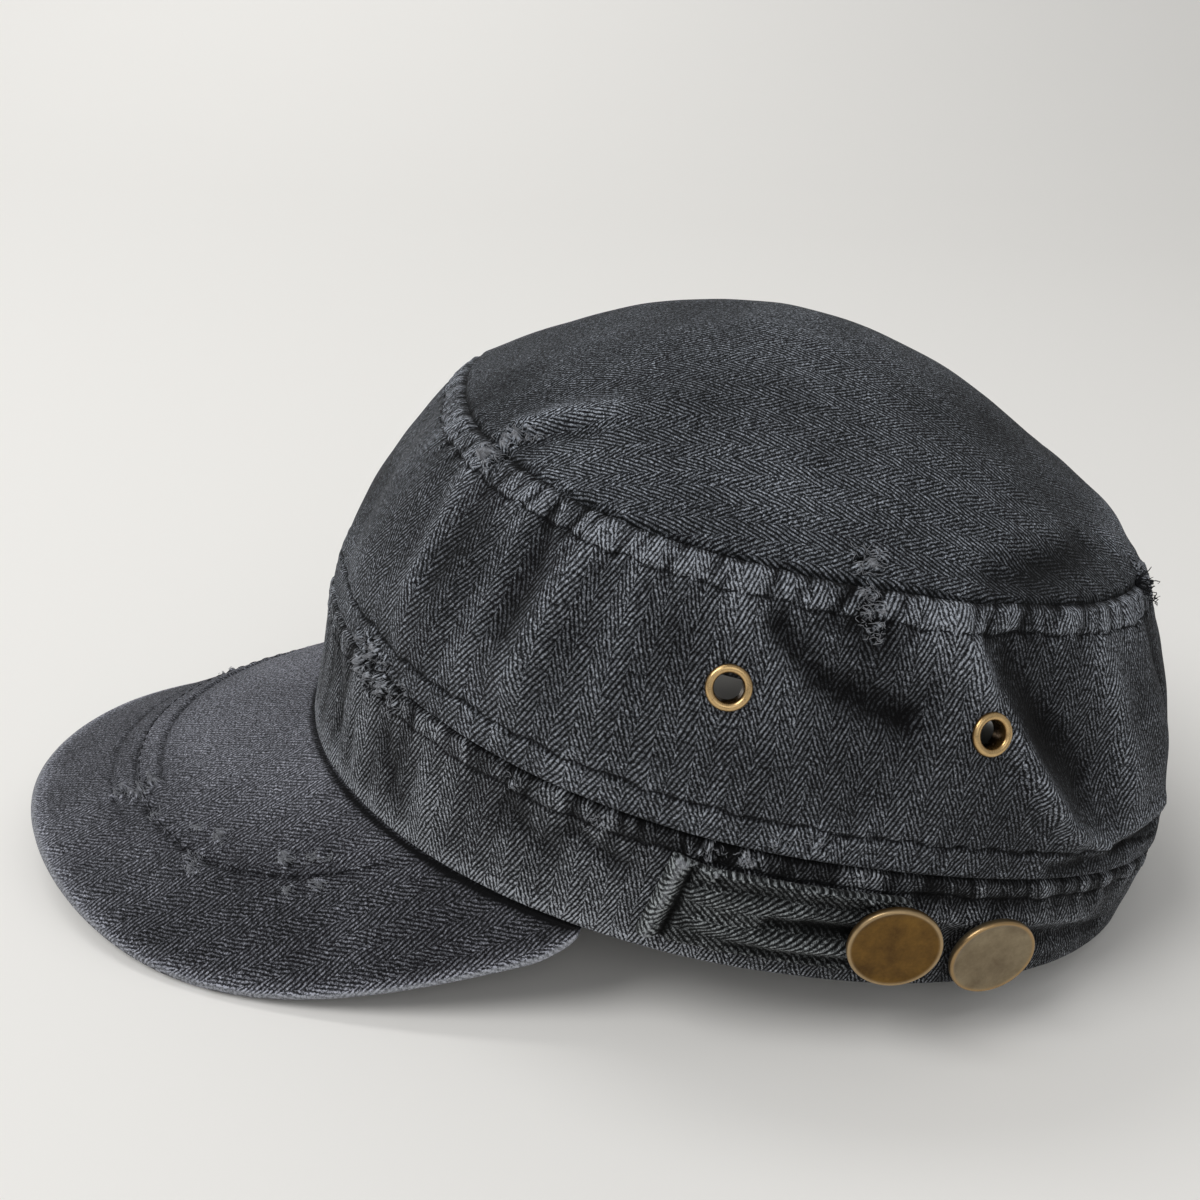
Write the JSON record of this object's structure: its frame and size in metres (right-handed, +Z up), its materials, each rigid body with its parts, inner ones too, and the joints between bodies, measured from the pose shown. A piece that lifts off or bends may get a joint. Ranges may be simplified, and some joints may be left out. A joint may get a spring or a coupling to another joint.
{
  "type": "army cap",
  "caption": "Soft army cap of herringbone cotton: domed oval crown, band and short curved peak, with a buttoned side tab and brass eyelets.",
  "frame": {"origin": "middle of the base of the whole cap, on the plane that it rests on", "axes": "+Z up, the peak towards -Y, the wearer's left side with the tab and the buttons towards +X"},
  "size_m": [0.1746, 0.267, 0.1254],
  "materials": {
    "cloth_peak": "washed black herringbone cotton, worn pale along its hem",
    "cloth_band": "washed black herringbone cotton, frayed at the seam",
    "cloth_wall": "washed black herringbone cotton",
    "cloth_top": "washed black herringbone cotton",
    "cloth_tab": "washed black herringbone cotton with a stitched edge",
    "brass_button": "dark aged brass, dull and scuffed",
    "brass_eyelet": "aged golden brass"
  },
  "bodies": {
    "root": {"peak": "cloth_peak", "band": "cloth_band", "crown_wall": "cloth_wall", "crown_top": "cloth_top", "tab": "cloth_tab", "button_front": "brass_button", "button_rear": "brass_button", "eyelet_left_front": "brass_eyelet", "eyelet_left_rear": "brass_eyelet", "eyelet_right_front": "brass_eyelet", "eyelet_right_rear": "brass_eyelet"}
  },
  "joints": []
}
